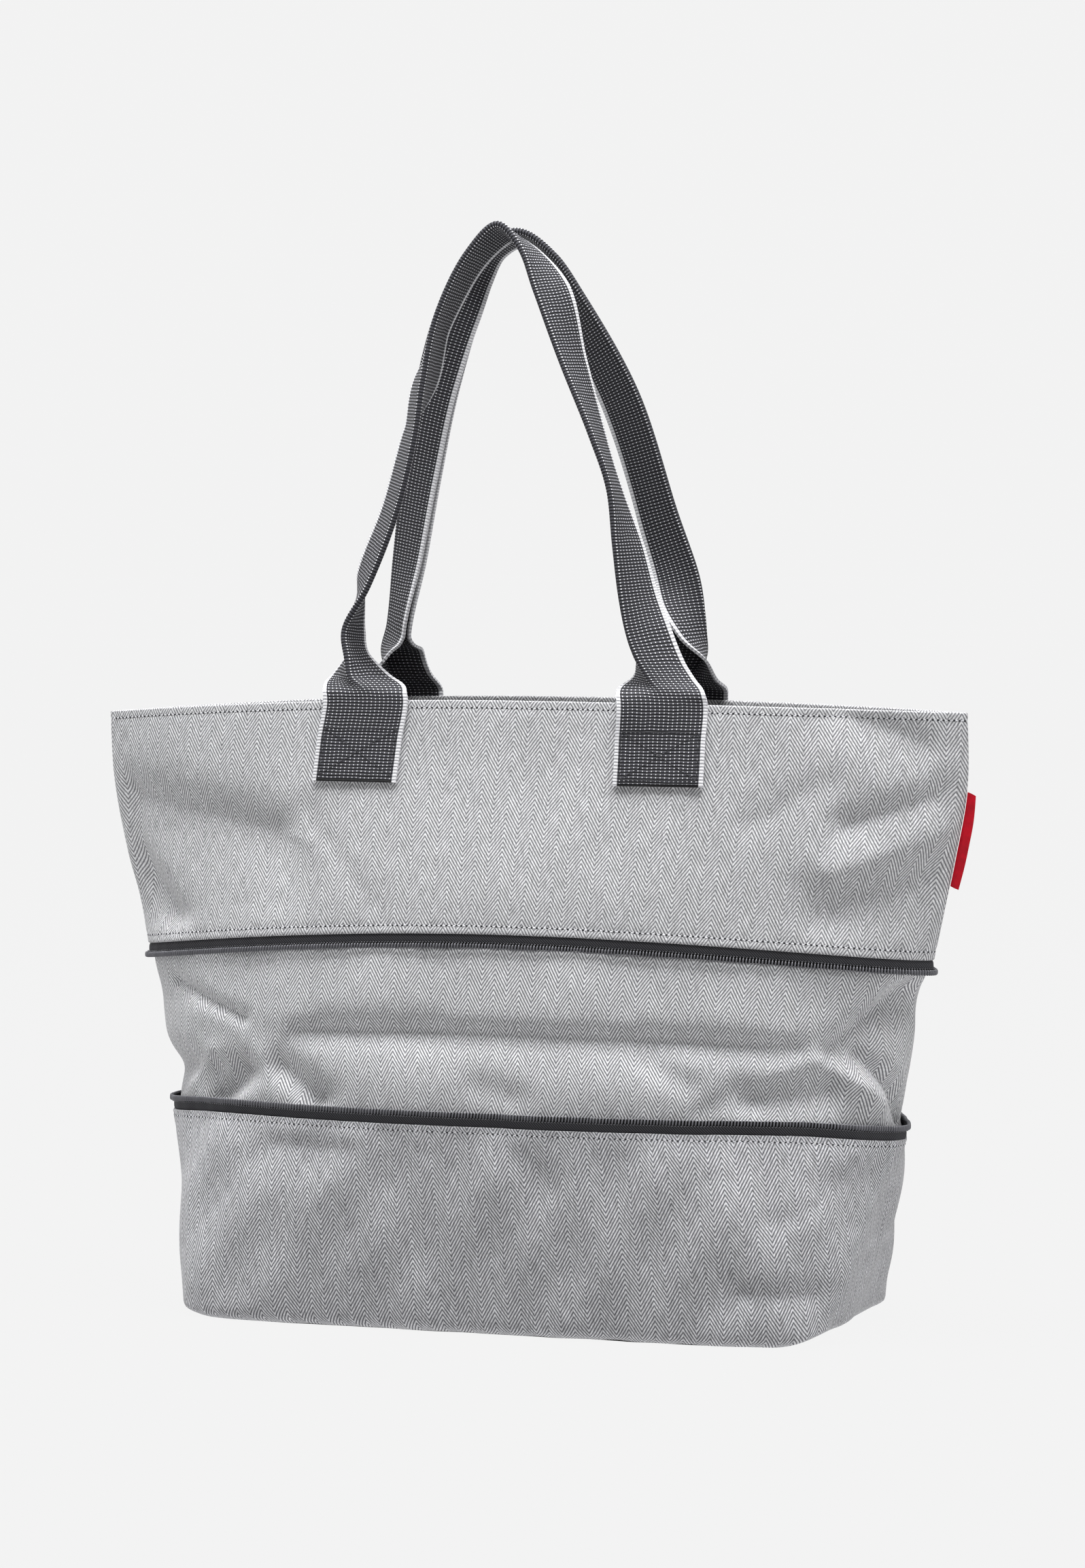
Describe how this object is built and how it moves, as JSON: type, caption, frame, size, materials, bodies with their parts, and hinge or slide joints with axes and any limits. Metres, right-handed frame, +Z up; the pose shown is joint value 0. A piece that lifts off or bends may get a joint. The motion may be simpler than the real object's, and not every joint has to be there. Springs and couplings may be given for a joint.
{
  "type": "expandable shopping bag",
  "caption": "Wide-mouthed cloth shopping bag with folded webbing handles and a slouched middle band between open zip halves, over a boxed base.",
  "frame": {"origin": "on the floor under the middle of the bag's box", "axes": "+X along the bag's length to the viewer's right, -Y to the front, +Z up"},
  "size_m": [0.505, 0.1652, 0.6033],
  "materials": {
    "cloth": "light grey herringbone weave",
    "webbing": "charcoal ribbed webbing with pale selvedges",
    "zip_tape": "charcoal zip tape",
    "zip_coil": "black moulded coil",
    "label": "glossy red",
    "slider": "dark grey enamel"
  },
  "bodies": {
    "root": {"upper_front_panel": "cloth", "upper_back_panel": "cloth", "upper_zip_tape": "zip_tape", "upper_zip_coil": "zip_coil", "middle_band": "cloth", "lower_zip_coil": "zip_coil", "lower_zip_tape": "zip_tape", "lower_front_panel": "cloth", "lower_back_panel": "cloth", "front_strap": "webbing", "back_strap": "webbing", "side_label": "label", "zip_slider": "slider"}
  },
  "joints": []
}
